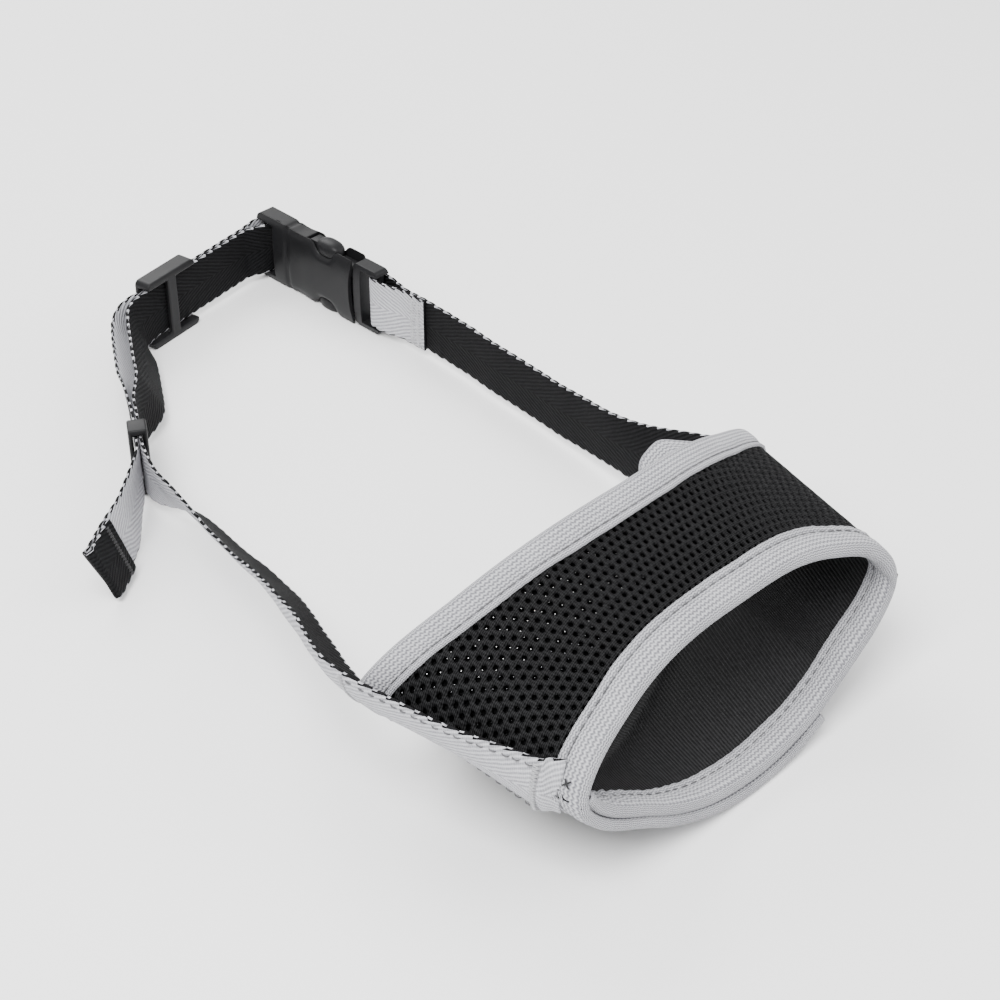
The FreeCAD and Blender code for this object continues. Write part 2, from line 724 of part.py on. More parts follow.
def write_parts():
    """Check every object and every shape, then write one file for each sub-part."""
    doc.recompute()
    for item in doc.Objects:
        if "Invalid" in item.State or "Error" in item.State:
            raise RuntimeError(f"{item.Label} failed: {item.State}")
    for node in nodes:
        if node.Shape.isNull() or not node.Shape.isValid():
            raise RuntimeError(f"{node.Label} has no valid shape")
    os.makedirs("parts", exist_ok=True)
    for node in nodes:
        shape = node.Shape
        shape.exportStep(f"parts/{node.Label}.step")
        box = shape.BoundBox
        print(f"{node.Label:22s} solids {len(shape.Solids):3d} volume {shape.Volume:9.1f} "
              f"x {box.XMin:7.1f} {box.XMax:7.1f} y {box.YMin:7.1f} {box.YMax:7.1f} "
              f"z {box.ZMin:6.1f} {box.ZMax:6.1f}")


make_sleeve()
make_near_strap()
make_strap_stitching(make_far_strap())
make_buckle_female()
make_buckle_male()
make_prong("prong_upper", 1)
make_prong("prong_lower", -1)
make_tri_glide()
make_keeper()
stand_on_origin()
write_parts()
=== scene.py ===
"""Looks of a soft dog muzzle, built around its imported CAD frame.

Shapes are worked out in millimetres in the maker's frame, where x = 0 is the
middle of the sleeve and y = 0 its nose seam corners, and are moved into the
CAD frame as each mesh is made.
"""
import math

import bmesh
import bpy
import numpy as np
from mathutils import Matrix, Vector


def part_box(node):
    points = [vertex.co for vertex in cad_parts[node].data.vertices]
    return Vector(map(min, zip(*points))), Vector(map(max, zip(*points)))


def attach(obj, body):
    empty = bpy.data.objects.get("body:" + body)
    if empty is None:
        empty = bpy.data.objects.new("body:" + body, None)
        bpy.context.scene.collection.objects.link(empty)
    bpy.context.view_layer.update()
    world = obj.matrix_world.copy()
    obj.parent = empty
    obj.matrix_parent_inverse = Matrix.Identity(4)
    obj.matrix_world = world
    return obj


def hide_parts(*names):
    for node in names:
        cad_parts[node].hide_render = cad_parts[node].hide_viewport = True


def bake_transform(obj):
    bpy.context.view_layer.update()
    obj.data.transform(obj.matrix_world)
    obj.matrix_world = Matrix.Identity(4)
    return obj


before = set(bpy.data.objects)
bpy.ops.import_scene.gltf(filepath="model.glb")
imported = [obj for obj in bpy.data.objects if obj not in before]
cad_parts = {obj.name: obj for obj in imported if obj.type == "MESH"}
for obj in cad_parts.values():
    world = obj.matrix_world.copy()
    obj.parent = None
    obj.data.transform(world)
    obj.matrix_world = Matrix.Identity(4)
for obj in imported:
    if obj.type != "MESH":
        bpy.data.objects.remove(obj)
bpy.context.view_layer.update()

MM = 0.001
SOCKET_END = 298.0
sleeve_low, sleeve_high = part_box("mesh_panel")
_, socket_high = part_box("buckle_female")
FRAME_SHIFT = np.array([(sleeve_low.x + sleeve_high.x) / 2, socket_high.y - SOCKET_END * MM, 0.0])

# sleeve
FRONT_HALF_WIDTH = 65.0
FRONT_CORNER_HEIGHT = 32.0
FRONT_ARCH = 22.5
FRONT_SET_BACK = 8.0
REAR_HALF_WIDTH = 79.0
REAR_CORNER_HEIGHT = 37.0
REAR_ARCH = 33.0
SEAM_LENGTH = 69.0
REAR_SCOOP = 17.5
CHIN_DROP_FRONT = 31.2
CHIN_DROP_REAR = 36.2
OUTER_FLAP_BOW = 7.0
INNER_FLAP_BOW = 6.0
OUTER_FLAP_END = 0.42
FLAP_GAP = 3.3
REAR_FLARE = 22.0
REAR_FLARE_RISE = 9.0
SIDE_BULGE = 2.4
MESH_THICKNESS = 2.6
CHIN_THICKNESS = 1.2
# tape and thread
TAPE_DEPTH = 10.0
TAPE_THICKNESS = 0.7
STITCH_INSET = 7.9
STITCH_PITCH = 3.6
# webbing
WEBBING_WIDTH = 20.0
WEBBING_THICKNESS = 1.2
LAYER_PITCH = 1.35
STRAP_HEIGHT = 13.0
RUN_LINE = 296.0
BUCKLE_LINE = 84.0
RUN_HEADING = math.radians(10)
SCALLOP = 4.3
SEAM_DIPS = {"near": 2.6, "far": 1.7}
KEEPER_RUN = np.array([(-39, 212.6, STRAP_HEIGHT), (7, 284.6, STRAP_HEIGHT)])
TAIL_END = np.array([-78, 182.5, 10.6])
TAIL_LEAN = np.array([-0.38, 0.14, 0.91])
RUN_DIRECTION = np.array([math.cos(RUN_HEADING), math.sin(RUN_HEADING), 0])
WRAP_RADIUS = 2.0 + WEBBING_THICKNESS / 2 + 0.1
FAR_SEAM = [(61.5, 7.6, 24.2), (71.4, 71.2, 29.5)]
HANGING_POINT = (-50.5, 141, 18)
SEAM_LEAN = (-0.5, 0.0, 0.87)
FAR_SEAM_LEAN = (0.7, 0.0, 0.71)
NEAR_TUCK = 2.7
FAR_TUCK = 1.4
# where the doubled layers part, beyond the keeper's travel, in millimetres along their run
OPENING_START = 26.0
OPENING_END = 98.0
LAYER_LEAN = math.radians(25)
LAYER_PARTING = math.radians(15)
# camera
CAMERA_PLACE = (-0.3482, -0.3942, 0.4034)
CAMERA_AZIMUTH = math.radians(-45.26)
CAMERA_ELEVATION = math.radians(36.52)
CAMERA_LENS = 76.5
UP = np.array([0.0, 0.0, 1.0])


# ---- mesh code


def unit(vectors):
    vectors = np.asarray(vectors, float)
    return vectors / np.linalg.norm(vectors, axis=-1, keepdims=True)


def column(*parts):
    return np.stack(np.broadcast_arrays(*parts), axis=-1)


def make_mesh(name, points, faces, uv=None, smooth=True):
    """A mesh object from millimetre points and quads, with an optional UV for each corner."""
    mesh = bpy.data.meshes.new(name)
    points = np.asarray(points, float).reshape(-1, 3) * MM + FRAME_SHIFT
    faces = np.asarray(faces, np.int32)
    mesh.vertices.add(len(points))
    mesh.vertices.foreach_set("co", points.ravel())
    mesh.loops.add(faces.size)
    mesh.loops.foreach_set("vertex_index", faces.ravel())
    mesh.polygons.add(len(faces))
    mesh.polygons.foreach_set("loop_start", np.arange(len(faces), dtype=np.int32) * faces.shape[1])
    mesh.polygons.foreach_set("use_smooth", np.full(len(faces), smooth))
    if uv is not None:
        layer = mesh.uv_layers.new(name="millimetres")
        layer.data.foreach_set("uv", np.asarray(uv, float).ravel())
    mesh.update(calc_edges=True)
    mesh.validate()
    piece = bpy.data.objects.new(name, mesh)
    bpy.context.scene.collection.objects.link(piece)
    return piece


def sweep(name, rings, along, columns):
    """A closed skin over a row of equal rings, with both ends capped.

    along is the UV u of each ring, and columns the UV v at both sides of each ring segment.
    Point i of a ring lies opposite point -1 - i, which is how the caps are made.
    """
    count, size = rings.shape[:2]
    row = np.arange(count - 1)[:, None]
    spot = np.arange(size)[None, :]
    ahead = (spot + 1) % size
    faces = np.stack([row * size + spot, row * size + ahead,
                      (row + 1) * size + ahead, (row + 1) * size + spot], axis=-1).reshape(-1, 4)
    columns = np.asarray(columns, float)
    low = np.broadcast_to(along[:-1, None], (count - 1, size))
    high = np.broadcast_to(along[1:, None], (count - 1, size))
    first = np.broadcast_to(columns[:, 0], (count - 1, size))
    second = np.broadcast_to(columns[:, 1], (count - 1, size))
    uv = np.stack([column(low, first), column(low, second),
                   column(high, second), column(high, first)], axis=2).reshape(-1, 2)
    near = np.arange(size // 2 - 1)
    cap = np.stack([near, size - 1 - near, size - 2 - near, near + 1], axis=-1)
    base = (count - 1) * size
    far_cap = cap[:, ::-1] + base
    cap_uv = np.concatenate([np.tile([along[0], columns[0, 0]], (len(cap) * 4, 1)),
                             np.tile([along[-1], columns[0, 0]], (len(cap) * 4, 1))])
    return make_mesh(name, rings, np.concatenate([faces, cap, far_cap]),
                     np.concatenate([uv, cap_uv]))


def lengths_along(points):
    steps = np.linalg.norm(np.diff(points, axis=0), axis=1)
    return np.concatenate([[0.0], np.cumsum(steps)])


def resample(step, points, *others):
    """Points, and arrays that go with them, at even steps along the line."""
    lengths = lengths_along(points)
    spots = np.linspace(0, lengths[-1], max(2, int(round(lengths[-1] / step))) + 1)
    arrays = [np.asarray(array, float).reshape(len(points), -1) for array in (points,) + others]
    evened = [np.stack([np.interp(spots, lengths, values) for values in array.T], axis=-1)
              for array in arrays]
    return [spots] + evened


def smoothed(values, rounds, weight=1.0):
    """Values eased along their row, with the two ends kept."""
    values = np.array(values, float)
    weight = np.broadcast_to(weight, len(values))[1:-1, None] * 0.5
    for _ in range(rounds):
        middle = (values[:-2] + values[2:]) / 2
        values[1:-1] += (middle - values[1:-1]) * weight
    return values


def wander(values, scale, seed):
    """Gentle uneven waves, from -1 to 1, that never repeat over the object."""
    phases = np.random.default_rng(seed).uniform(0, 2 * math.pi, 4)
    waves = [np.sin(values / scale * factor + phase) for factor, phase in
             zip((1.0, 1.7, 2.9, 4.3), phases)]
    return (waves[0] + 0.6 * waves[1] + 0.4 * waves[2] + 0.25 * waves[3]) / 2.25


def tufts(name, centres, along, outward, length, radius, arch):
    """A group of short threads, each curving out of the cloth and back into it."""
    sides = 6
    shape = np.array([(-0.5, -0.9), (-0.42, 0.15), (-0.2, 0.8),
                      (0.2, 0.8), (0.42, 0.15), (0.5, -0.9)])
    aside = np.cross(outward, along)
    stations = (centres[:, None] + along[:, None] * (shape[:, :1] * length)
                + outward[:, None] * (shape[:, 1:] * arch))
    angles = np.arange(sides) / sides * 2 * math.pi
    girth = radius * np.array([0.5, 0.9, 1.0, 1.0, 0.9, 0.5])
    spokes = (aside[:, None, None] * np.cos(angles)[None, None, :, None]
              + outward[:, None, None] * np.sin(angles)[None, None, :, None])
    rings = stations[:, :, None] + spokes * girth[None, :, None, None]
    total, rows = rings.shape[:2]
    start = (np.arange(total) * rows * sides)[:, None, None]
    row = (np.arange(rows - 1) * sides)[None, :, None]
    spot = np.arange(sides)[None, None, :]
    ahead = (spot + 1) % sides
    quads = np.stack([start + row + spot, start + row + ahead,
                      start + row + sides + ahead, start + row + sides + spot], axis=-1)
    return make_mesh(name, rings, quads.reshape(-1, 4),
                     np.tile([[0, 0], [0, 1], [1, 1], [1, 0]], (total * (rows - 1) * sides, 1)))


# ---- sleeve surfaces


def top_front(s):
    rise = 1 - np.abs(s) ** np.where(s > 0, 3.5, 2.7)
    return column(FRONT_HALF_WIDTH * s, FRONT_SET_BACK * rise,
                  FRONT_CORNER_HEIGHT + FRONT_ARCH * rise)


def top_rear(s):
    rise = 1 - np.abs(s) ** 2.4
    return column(REAR_HALF_WIDTH * s, SEAM_LENGTH - REAR_SCOOP * (1 - s ** 2),
                  REAR_CORNER_HEIGHT + REAR_ARCH * rise)


def chin_front(bow):
    def edge(s):
        drop = 1 - np.abs(s) ** 2.15
        return column(FRONT_HALF_WIDTH * s, -bow * drop,
                      FRONT_CORNER_HEIGHT - CHIN_DROP_FRONT * drop)
    return edge


def chin_rear(s):
    """The chin's rear edge, with the slack that flares out before its far corner."""
    drop = 1 - np.abs(s) ** 2.15
    opening = np.clip((s - 0.58) / 0.17, 0, 1)
    slack = opening ** 2 * (3 - 2 * opening) * np.clip((1 - s) / 0.17, 0, 1)
    return column(REAR_HALF_WIDTH * s, SEAM_LENGTH + REAR_FLARE * slack,
                  REAR_CORNER_HEIGHT - CHIN_DROP_REAR * drop + REAR_FLARE_RISE * slack)


class Panel:
    """A cloth surface between a front and a rear edge.

    s runs from -1 at the near seam to 1 at the far one, depth is measured from an
    edge into the cloth, and height goes towards the inside of the sleeve.
    """

    def __init__(self, front, rear, lift=lambda s: 0.0, relief=lambda s, depth: 0.0):
        self.front = front
        self.rear = rear
        self.lift = lift
        self.relief = relief

    def axes(self, s):
        front, rear = self.front(s), self.rear(s)
        along = unit(rear - front)
        step = 0.002
        before, after = np.maximum(s - step, -1), np.minimum(s + step, 1)
        across = self.front(after) + self.rear(after) - self.front(before) - self.rear(before)
        inward = unit(np.cross(across, along))
        centre = (front + rear) / 2
        towards = column(0 * s, centre[..., 1], 0 * s + FRONT_CORNER_HEIGHT + 3) - centre
        flip = np.sign((inward * towards).sum(-1, keepdims=True))
        return front, rear, along, inward * flip

    def raised(self, s, depth):
        """Lift of the surface: its layer, the full rounded sides and the cloth's own relief."""
        reach = np.clip((1 - np.abs(s)) / 0.35, 0, 1)
        bulge = 6.75 * reach * (1 - reach) ** 2
        return self.lift(s) - SIDE_BULGE * bulge + self.relief(s, depth)

    def length(self, s):
        return np.linalg.norm(self.rear(s) - self.front(s), axis=-1)

    def point(self, s, depth, height):
        front, _, along, inward = self.axes(s)
        rise = np.asarray(height + self.raised(s, depth))[..., None]
        return front + along * np.asarray(depth)[..., None] + inward * rise

    def edge(self, s, from_rear):
        """Points on an edge, with the directions into the cloth and into the sleeve."""
        front, rear, along, inward = self.axes(s)
        base, into, depth = (rear, -along, self.length(s)) if from_rear else (front, along, 0 * s)
        return base + inward * self.raised(s, depth)[..., None], into, inward


def mesh_relief(s, depth):
    return 0.35 * wander(s * 65, 17, 1) + 0.25 * wander(depth + 30 * s, 11, 2)


def chin_relief(s, depth):
    """Soft waves, and the sharp fold that crosses the chin inside the sleeve."""
    fold_line = 12 + 30 * (s + 0.95)
    ridge = 1.7 * np.exp(-np.abs(depth - fold_line) / 2.0) * (s < 0.62)
    return 0.5 * wander(s * 60 + depth * 0.4, 15, 3) + ridge


top = Panel(top_front, top_rear, relief=mesh_relief)
outer_chin = Panel(chin_front(OUTER_FLAP_BOW), chin_rear)
inner_chin = Panel(chin_front(INNER_FLAP_BOW), chin_rear,
                   lift=lambda s: FLAP_GAP * np.minimum(1, (1 - s) / 0.5), relief=chin_relief)


def net(name, panel, columns, pitch, hole, heights, points_per_cell, margin):
    """Knitted net: a closed web of staggered six-sided cells, each with an oval hole.

    heights are the web's crown, the lip of the hole, the hole's far lip and the back.
    """
    across, down = 2.0 / columns, pitch
    mm_per_s = (FRONT_HALF_WIDTH + REAR_HALF_WIDTH) / 2 * 1.15
    rows = int((SEAM_LENGTH - 2 * margin) / down) + 3
    row, place = np.meshgrid(np.arange(rows), np.arange(columns), indexing="ij")
    s = -1 + (place + 0.5 + 0.5 * (row % 2)) * across
    depth = margin + row * down
    keep = (s < 1 - across * 0.6) & (depth < panel.length(np.clip(s, -1, 1)) - margin)
    centres = column(s[keep], depth[keep])
    corners = np.array([(0, 2 / 3), (0.5, 1 / 3), (0.5, -1 / 3), (0, -2 / 3), (-0.5, -1 / 3),
                        (-0.5, 1 / 3)])
    if points_per_cell == 12:
        middles = (corners + np.roll(corners, -1, axis=0)) / 2
        corners = np.stack([corners, middles], axis=1).reshape(-1, 2)
    rim = corners * (across, down)
    spread = rim * (mm_per_s, 1)
    lip = unit(spread) * hole / (mm_per_s, 1)
    crown, lip_height, far_lip, back = heights
    rings = [(1.0, crown), (0.42, crown * 0.62 + lip_height * 0.38), (0.0, lip_height),
             (0.0, far_lip), (1.0, back)]
    if points_per_cell == 6:
        rings.pop(1)
    sheets, heights_of = [], []
    for share, height in rings:
        sheets.append(centres[:, None] + rim * share + lip * (1 - share))
        heights_of.append(np.full(sheets[-1].shape[:2], height))
    flat = np.concatenate([sheet.reshape(-1, 2) for sheet in sheets])
    height = np.concatenate([values.ravel() for values in heights_of])
    keys = np.round(column(flat[:, 0] * mm_per_s * 50, flat[:, 1] * 50, height * 50))
    _, first, index = np.unique(keys.astype(np.int64), axis=0, return_index=True,
                                return_inverse=True)
    index = index.reshape(len(rings), len(centres), points_per_cell)
    spot = np.arange(points_per_cell)
    ahead = (spot + 1) % points_per_cell
    quads = [np.stack([index[level][:, spot], index[level][:, ahead],
                       index[level + 1][:, ahead], index[level + 1][:, spot]], axis=-1)
             for level in range(len(rings) - 1)]
    faces = np.concatenate([quad.reshape(-1, 4) for quad in quads])
    flat, height = flat[first], height[first]
    points = panel.point(np.clip(flat[:, 0], -1, 1), flat[:, 1], height)
    uv = column(flat[:, 0] * mm_per_s, flat[:, 1])[faces].reshape(-1, 2)
    return make_mesh(name, points, faces, uv)


def cloth(name, panel, first, last, thickness, rounded_end=0.0):
    """A chin flap: cloth of real thickness, whose free end may have rounded corners."""
    s = np.linspace(first, last, int(abs(last - first) * 75) + 2)
    share = np.linspace(0, 1, 64)
    grid_s, grid_share = np.meshgrid(s, share, indexing="ij")
    pull = np.zeros_like(grid_s)
    if rounded_end:
        off_middle = np.abs(grid_share - 0.5) * 2
        pull = rounded_end * np.clip((off_middle - 0.7) / 0.3, 0, 1) ** 2
    grid_s = first + (last - pull - first) * (grid_s - first) / (last - first)
    depth = 0.6 + grid_share * (panel.length(grid_s) - 1.2)
    inside = panel.point(grid_s, depth, thickness)
    outside = panel.point(grid_s, depth, 0.0)
    rings = np.concatenate([outside, inside[:, ::-1]], axis=1)
    widths = np.linspace(0, SEAM_LENGTH, len(share))
    spans = [(a, b) for a, b in zip(widths, widths[1:])]
    columns = spans + [(SEAM_LENGTH, SEAM_LENGTH)] + [(b, a) for a, b in spans[::-1]] + [(0, 0)]
    return sweep(name, rings, lengths_along(inside[:, 32]), columns)


# ---- bindings


def tape_route(stretches):
    """One tape along several cloth edges in turn, rounding the corners between them."""
    points, into, inward, cloth_depth = [], [], [], []
    for panel, s, from_rear, thickness in stretches:
        where, inside, normal = panel.edge(s, from_rear)
        if points:
            ease = np.linspace(0, 1, 9)[1:-1, None]
            corner = (panel.rear if from_rear else panel.front)(np.sign(s[:1]))
            points.append((1 - ease) ** 2 * points[-1][-1] + 2 * ease * (1 - ease) * corner
                          + ease ** 2 * where[0])
            into.append(unit((1 - ease) * into[-1][-1] + ease * inside[0]))
            inward.append(unit((1 - ease) * inward[-1][-1] + ease * normal[0]))
            cloth_depth.append((1 - ease[:, 0]) * cloth_depth[-1][-1] + ease[:, 0] * thickness)
        points.append(where)
        into.append(inside)
        inward.append(normal)
        cloth_depth.append(np.full(len(s), thickness))
    along, points, into, inward, cloth_depth = resample(
        0.75, *(np.concatenate(parts) for parts in (points, into, inward, cloth_depth)))
    into = unit(smoothed(into, 40))
    inward = unit(smoothed(inward, 40))
    return along, smoothed(points, 10), into, inward, cloth_depth[:, 0]


def tape_profile(cloth_depth, along, seed):
    """The tape's section at each station: depth into the cloth and height, out and back."""
    outer_depths = np.array([TAPE_DEPTH, 9.5, 8.7, STITCH_INSET, 7.1, 6.0, 4.6, 3.2])
    swell = np.array([0.12, 0.30, 0.16, -0.30, 0.12, 0.34, 0.44, 0.38])
    pucker_share = np.array([0.9, 1.0, 0.6, 0.2, 0.7, 0.8, 0.6, 0.4])
    half = cloth_depth / 2 + 0.05
    stitch_wave = np.cos(2 * math.pi * along / STITCH_PITCH)
    bunching = 1 + 7.0 * np.exp(-along / 16)
    gather = (0.09 * stitch_wave + 0.10 * wander(along, 1.1, seed)) * bunching
    sides = []
    for thickness in (TAPE_THICKNESS, 0.05):
        body = thickness > 0.1
        heights = half[:, None] + thickness + (swell * body)[None, :]
        heights = heights + gather[:, None] * pucker_share[None, :] * (1 if body else 0.8)
        radius = half + thickness + 0.3 * body
        nose_centre = half + TAPE_THICKNESS + 0.35
        turn = np.linspace(0, math.pi, 11)[1:-1]
        nose_depth = nose_centre[:, None] - radius[:, None] * np.sin(turn) * 1.05
        nose_height = radius[:, None] * np.cos(turn)
        depth = np.concatenate([np.broadcast_to(outer_depths, heights.shape), nose_depth,
                                np.broadcast_to(outer_depths[::-1], heights.shape)], axis=1)
        height = np.concatenate([-heights, -nose_height, heights[:, ::-1]], axis=1)
        sides.append((depth, height + cloth_depth[:, None] / 2))
    (out_depth, out_height), (in_depth, in_height) = sides
    return (np.concatenate([out_depth, in_depth[:, ::-1]], axis=1),
            np.concatenate([out_height, in_height[:, ::-1]], axis=1))


def binding(name, stretches, seed):
    """Grey knitted tape folded over the open edges, and its row of stitches."""
    along, points, into, inward, cloth_depth = tape_route(stretches)
    depth, height = tape_profile(cloth_depth, along, seed)
    flare = 1 + 0.03 * wander(along, 9.0, seed + 1)
    taper = np.minimum(1, (np.minimum(along, along[-1] - along) + 2.0) / 7.0)
    rings = (points[:, None] + into[:, None] * (depth * (flare * taper ** 0.35)[:, None])[..., None]
             + inward[:, None] * height[..., None])
    size = rings.shape[1]
    around = np.linspace(0, 27.0, size // 2)
    spans = list(zip(around, around[1:]))
    columns = spans + [(27.0, 27.5)] + [(40 + b, 40 + a) for a, b in spans[::-1]] + [(40, 39.5)]
    tape = sweep(name, rings, along, columns)
    spots = np.arange(STITCH_PITCH, along[-1] - STITCH_PITCH, STITCH_PITCH) + 0.5 * STITCH_PITCH
    pick = np.clip(np.searchsorted(along, spots), 1, len(along) - 1)
    line = unit(points[pick] - points[pick - 1])
    rows = []
    for side in (-1, 1):
        face = cloth_depth[pick] / 2 + side * (cloth_depth[pick] / 2 + TAPE_THICKNESS - 0.12)
        rows.append((points[pick] + into[pick] * STITCH_INSET + inward[pick] * face[:, None],
                     line, inward[pick] * side))
    where, direction, outward = (np.concatenate(parts) for parts in zip(*rows))
    return tape, tufts(f"{name}_stitches", where, direction, outward, length=2.5, radius=0.2,
                       arch=0.16)


# ---- webbing


def rounded_route(corners, radii):
    """Points along straight runs whose inner corners are rounded by arcs."""
    corners = np.asarray(corners, float)
    route = [corners[0]]
    for before, corner, after, radius in zip(corners, corners[1:], corners[2:], radii):
        arriving, leaving = unit(corner - before), unit(after - corner)
        turn = math.acos(np.clip(arriving @ leaving, -1, 1))
        aside = unit(leaving - arriving)
        centre = corner + aside * (radius / math.cos(turn / 2))
        spoke = corner - arriving * radius * math.tan(turn / 2) - centre
        for angle in np.linspace(0, turn, max(4, int(turn / 0.1))):
            route.append(centre + spoke * math.cos(angle) + arriving * radius * math.sin(angle))
    route.append(corners[-1])
    return np.array(route)


def parallel(corners, distance):
    """The same route in plan, moved to its left by a distance."""
    corners = np.asarray(corners, float)
    headings = unit(np.diff(corners, axis=0) * (1, 1, 0))
    arriving = np.concatenate([headings[:1], headings])
    leaving = np.concatenate([headings, headings[-1:]])
    left = np.cross(UP, unit(arriving + leaving))
    spread = np.sqrt((1 + (arriving * leaving).sum(-1)) / 2)
    return corners + left * (distance / spread)[:, None]


def near_seam_route():
    """From just inside the front tape to behind the sleeve's rear corner."""
    clear = TAPE_THICKNESS + WEBBING_THICKNESS
    front = np.array([-FRONT_HALF_WIDTH - clear, 1, FRONT_CORNER_HEIGHT])
    rear = np.array([-REAR_HALF_WIDTH - clear, SEAM_LENGTH + 2, REAR_CORNER_HEIGHT])
    return [front + (rear - front) * 0.09, rear]


def webbing(name, route, width_direction, grey_side, loose, curl, seed):
    """Two-tone twill webbing with scalloped selvedges, bent along a route.

    grey_side is 1 where the grey face looks along route direction x width, loose is
    how freely each point may ease, and curl the angle by which each edge turns in.
    """
    along, points, width, loose, curl = resample(0.7, route, width_direction(route),
                                                 loose(route), curl(route))
    points = smoothed(points, 160, loose[:, 0])
    curl = smoothed(curl, 200)
    along = lengths_along(points)
    tangent = unit(np.gradient(points, axis=0))
    width = unit(smoothed(width, 90))
    width = unit(width - tangent * (width * tangent).sum(-1, keepdims=True))
    normal = np.cross(tangent, width)
    drift = loose * 0.5 * wander(along, 13.0, seed)[:, None]
    points = points + normal * drift
    share = np.concatenate([[-1, -0.985, -0.93], np.linspace(-0.86, 0.86, 13), [0.93, 0.985, 1]])
    half = WEBBING_WIDTH / 2
    teeth = np.abs(np.cos(math.pi * along / SCALLOP))[:, None]
    crowding = np.abs(share) ** 8
    reach = share[None, :] * (half - 0.28 * (1 - teeth) * crowding)
    thin = 0.5 * WEBBING_THICKNESS * (1 - 0.5 * np.abs(share) ** 12)[None, :]
    plump = 1 + 0.3 * crowding * teeth
    ripple = 0.05 * wander(along, 2.0, seed + 3)[:, None] * np.cos(share * 9)[None, :]
    curl = np.where(np.abs(curl) < 1e-3, 1e-3, curl) / half
    angle = curl * reach
    aside = np.sin(angle) / curl
    dip = (1 - np.cos(angle)) / curl
    faces = []
    for side in (1, -1):
        offset = side * thin * plump + ripple
        faces.append(points[:, None]
                     + width[:, None] * (aside - np.sin(angle) * offset)[..., None]
                     + normal[:, None] * (dip + np.cos(angle) * offset)[..., None])
    rings = np.concatenate([faces[0], faces[1][:, ::-1]], axis=1)
    across = (share + 1) * half
    spans = list(zip(across, across[1:]))
    front, back = (0, 40) if grey_side > 0 else (40, 0)
    columns = ([(front + a, front + b) for a, b in spans] + [(front + 20, front + 20.6)]
               + [(back + b, back + a) for a, b in spans[::-1]] + [(back, back - 0.6)])
    piece = sweep(name, rings, along, columns)
    return piece, along, points, tangent, width, normal


def filled(route, step):
    """The same route with extra points, so that no two are further apart than a step."""
    points = [route[:1]]
    for first, second in zip(route, route[1:]):
        parts = max(1, math.ceil(np.linalg.norm(second - first) / step))
        points.append(first + (second - first) * (np.arange(1, parts + 1) / parts)[:, None])
    return np.concatenate(points)


def on_seam(route):
    """1 along the side seams, easing to 0 behind the sleeve."""
    return np.clip((SEAM_LENGTH + 14 - route[:, 1]) / 22, 0, 1)


def outward_lean(degrees):
    """The width of a strap whose top edge leans out to the near side."""
    angle = math.radians(degrees)
    return np.array([-0.99 * math.sin(angle), 0.13 * math.sin(angle), math.cos(angle)])


# the width's direction at shares of each strap's length
NEAR_LEANS = [(0.0, UP), (0.05, SEAM_LEAN), (0.105, SEAM_LEAN), (0.117, outward_lean(39)),
              (0.152, outward_lean(34)), (0.209, outward_lean(42)), (0.244, outward_lean(44)),
              (0.28, outward_lean(37)), (0.309, outward_lean(33)), (0.329, outward_lean(25)),
              (0.345, UP), (0.9, UP), (0.955, TAIL_LEAN), (1.0, TAIL_LEAN)]
FAR_LEANS = [(0.0, FAR_SEAM_LEAN), (0.27, FAR_SEAM_LEAN), (0.42, UP), (1.0, UP)]
# the near strap's curl at distances behind the nose corners
HANGING_CURLS = [(70, 0.6), (99, 0.85), (131, 0.45), (150, 0.3), (172, 0.3), (190, 0.5), (206, 0.0)]


def doubled_layers(route, width):
    """Lean the two layers between keeper and adjuster, opened like a V at their top.

    The first layer swings in under its top edge, and the second turns on its lower edge.
    """
    lengths = lengths_along(route)
    returning = lengths > lengths[-1] * 0.62
    run = unit(KEEPER_RUN[1] - KEEPER_RUN[0])
    outward = np.cross(UP, run)
    spot = (route - KEEPER_RUN[0]) @ run
    beside = np.abs((route - KEEPER_RUN[0]) @ outward) < 12
    inside = np.minimum((spot - OPENING_START) / 20, (OPENING_END - spot) / 24)
    share = np.where(beside, np.clip(inside, 0, 1), 0)
    swell = share ** 2 * (3 - 2 * share)
    half = WEBBING_WIDTH / 2
    first = (LAYER_LEAN * swell)[:, None]
    second = first + (LAYER_PARTING * swell * returning)[:, None]
    low = UP * np.cos(first) + outward * np.sin(first)
    high = UP * np.cos(second) + outward * np.sin(second)
    moved = route + half * (UP - 2 * low + high) - outward * (1.5 * swell)[:, None]
    active = swell[:, None] > 0
    return np.where(active, moved, route), np.where(active, high, width)


def leaning(route, leans):
    """The width's direction at each point, from its values at some shares of the length."""
    shares, directions = zip(*leans)
    spots = lengths_along(route) / lengths_along(route)[-1]
    return np.stack([np.interp(spots, shares, values) for values in np.array(directions).T],
                    axis=-1)


def tucked(route, depth):
    """The route with its sewn front end dipped under the tape."""
    dip = depth * np.clip((12 - route[:, 1:2]) / 3.4, 0, 1) ** 1.5
    return route - np.array([1.0, 0, 0]) * np.sign(route[:, :1]) * dip


